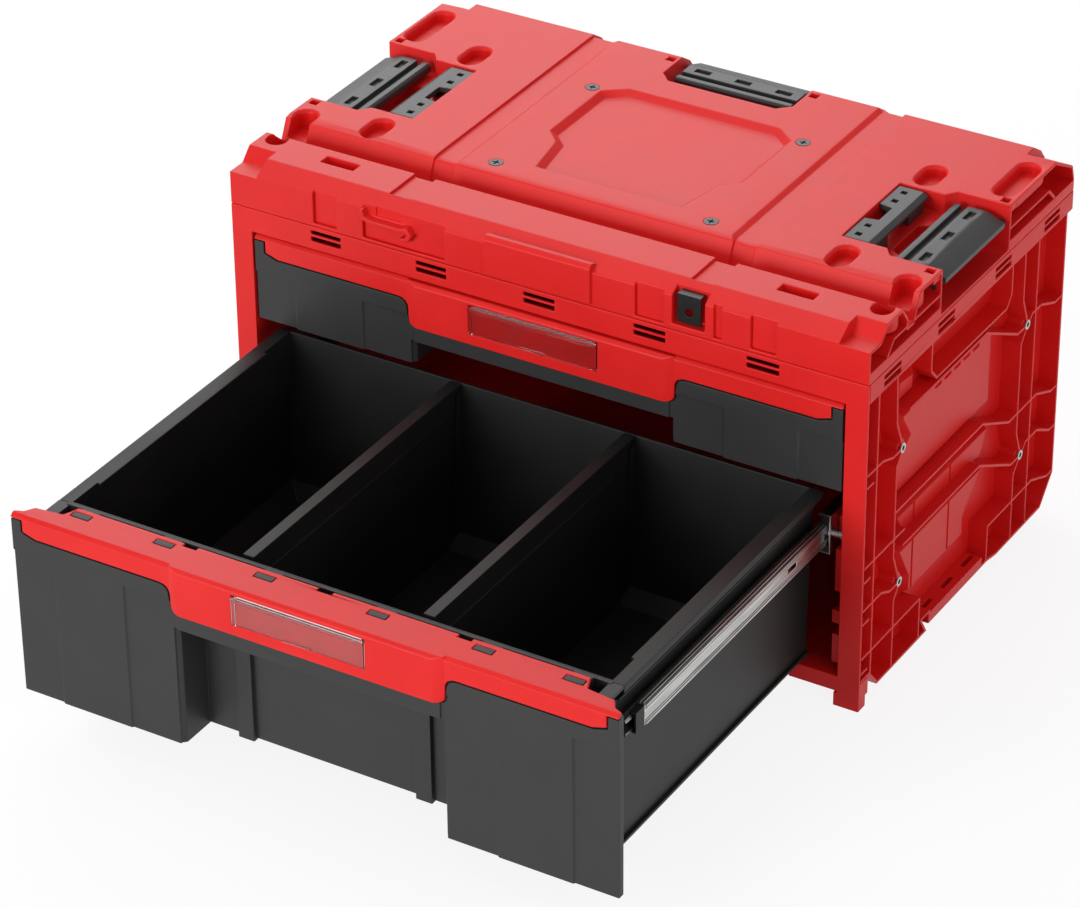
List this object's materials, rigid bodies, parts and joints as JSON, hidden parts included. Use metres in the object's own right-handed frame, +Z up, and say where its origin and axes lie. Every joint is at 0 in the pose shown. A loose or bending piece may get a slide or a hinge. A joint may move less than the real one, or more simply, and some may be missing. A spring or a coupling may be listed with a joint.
{
  "type": "toolbox with drawers",
  "caption": "stackable moulded toolbox with drawers on telescopic steel slides, ribbed side walls, label holders and wing latches on its deck",
  "frame": {"origin": "on the floor, under the middle of the whole model as it stands with the lower drawer open", "axes": "+Z up, +X to the right seen from the front, +Y from the drawer fronts to the rear; the drawers open towards -Y"},
  "size_m": [0.577, 0.7008, 0.3394],
  "materials": {
    "red_plastic": "moulded, fine satin grain",
    "grey_plastic": "moulded, fine grain",
    "black_plastic": "moulded, matt",
    "latch_plastic": "moulded, satin",
    "steel": "bright zinc plate",
    "black_steel": "black oxide",
    "clear_plastic": "clear, polished"
  },
  "bodies": {
    "case": {"front_frame": "red_plastic", "side_wall_left": "red_plastic", "side_wall_right": "red_plastic", "back_wall": "red_plastic", "base_panel": "red_plastic", "top_cover": "red_plastic", "padlock_tab": "black_steel", "cover_screw_1": "black_steel", "cover_screw_2": "black_steel", "cover_screw_3": "black_steel", "cover_screw_4": "black_steel", "wall_screw_1_left": "steel", "wall_screw_1_right": "steel", "wall_screw_2_left": "steel", "wall_screw_2_right": "steel", "wall_screw_3_left": "steel", "wall_screw_3_right": "steel", "wall_screw_4_left": "steel", "wall_screw_4_right": "steel", "latch_plate_left": "latch_plastic", "latch_plate_right": "latch_plastic", "lower_case_rail_left": "steel", "lower_case_rail_right": "steel", "lower_rail_screw_left": "steel", "lower_rail_screw_right": "steel", "lower_rail_stop_left": "black_plastic", "lower_rail_stop_right": "black_plastic", "upper_case_rail_left": "steel", "upper_case_rail_right": "steel", "upper_rail_screw_left": "steel", "upper_rail_screw_right": "steel", "upper_rail_stop_left": "black_plastic", "upper_rail_stop_right": "black_plastic"},
    "lower_drawer": {"lower_fascia": "grey_plastic", "lower_trim": "red_plastic", "lower_label_holder": "clear_plastic", "lower_tub": "black_plastic", "lower_drawer_rail_left": "steel", "lower_drawer_rail_right": "steel", "divider_left": "black_plastic", "divider_right": "black_plastic"},
    "upper_drawer": {"upper_fascia": "grey_plastic", "upper_trim": "red_plastic", "upper_label_holder": "clear_plastic", "upper_tub": "black_plastic", "upper_drawer_rail_left": "steel", "upper_drawer_rail_right": "steel"},
    "lower_slide_left": {"lower_middle_rail_left": "steel", "lower_rail_cap_left": "black_plastic"},
    "lower_slide_right": {"lower_middle_rail_right": "steel", "lower_rail_cap_right": "black_plastic"},
    "upper_slide_left": {"upper_middle_rail_left": "steel", "upper_rail_cap_left": "black_plastic"},
    "upper_slide_right": {"upper_middle_rail_right": "steel", "upper_rail_cap_right": "black_plastic"},
    "wing_left": {"wing_latch_left": "latch_plastic"},
    "wing_right": {"wing_latch_right": "latch_plastic"},
    "wing_rear": {"rear_wing_latch": "latch_plastic"}
  },
  "joints": [
    {"name": "lower_drawer_slide", "type": "slide", "parent": "case", "child": "lower_drawer", "axis": [0, 1, 0], "range_m": [0, 0.337]},
    {"name": "lower_slide_left_run", "type": "slide", "parent": "case", "child": "lower_slide_left", "axis": [0, 1, 0], "range_m": [0, 0.2932]},
    {"name": "lower_slide_right_run", "type": "slide", "parent": "case", "child": "lower_slide_right", "axis": [0, 1, 0], "range_m": [0, 0.2932]},
    {"name": "upper_drawer_slide", "type": "slide", "parent": "case", "child": "upper_drawer", "axis": [0, -1, 0], "range_m": [0, 0.337]},
    {"name": "upper_slide_left_run", "type": "slide", "parent": "case", "child": "upper_slide_left", "axis": [0, -1, 0], "range_m": [0, 0.2932]},
    {"name": "upper_slide_right_run", "type": "slide", "parent": "case", "child": "upper_slide_right", "axis": [0, -1, 0], "range_m": [0, 0.2932]},
    {"name": "wing_right_pivot", "type": "hinge", "parent": "case", "child": "wing_right", "pos_m": [0.282, 0.1714, 0.323], "axis": [0, 1, 0], "range_deg": [0, 20]},
    {"name": "wing_left_pivot", "type": "hinge", "parent": "case", "child": "wing_left", "pos_m": [-0.282, 0.1714, 0.323], "axis": [0, -1, 0], "range_deg": [0, 20]},
    {"name": "wing_rear_pivot", "type": "hinge", "parent": "case", "child": "wing_rear", "pos_m": [0, 0.3409, 0.323], "axis": [-1, 0, 0], "range_deg": [0, 20]}
  ],
  "couplings": [
    {"joint": "lower_slide_left_run", "follows": "lower_drawer_slide", "ratio": 0.87},
    {"joint": "lower_slide_right_run", "follows": "lower_drawer_slide", "ratio": 0.87},
    {"joint": "upper_slide_left_run", "follows": "upper_drawer_slide", "ratio": 0.87},
    {"joint": "upper_slide_right_run", "follows": "upper_drawer_slide", "ratio": 0.87}
  ]
}
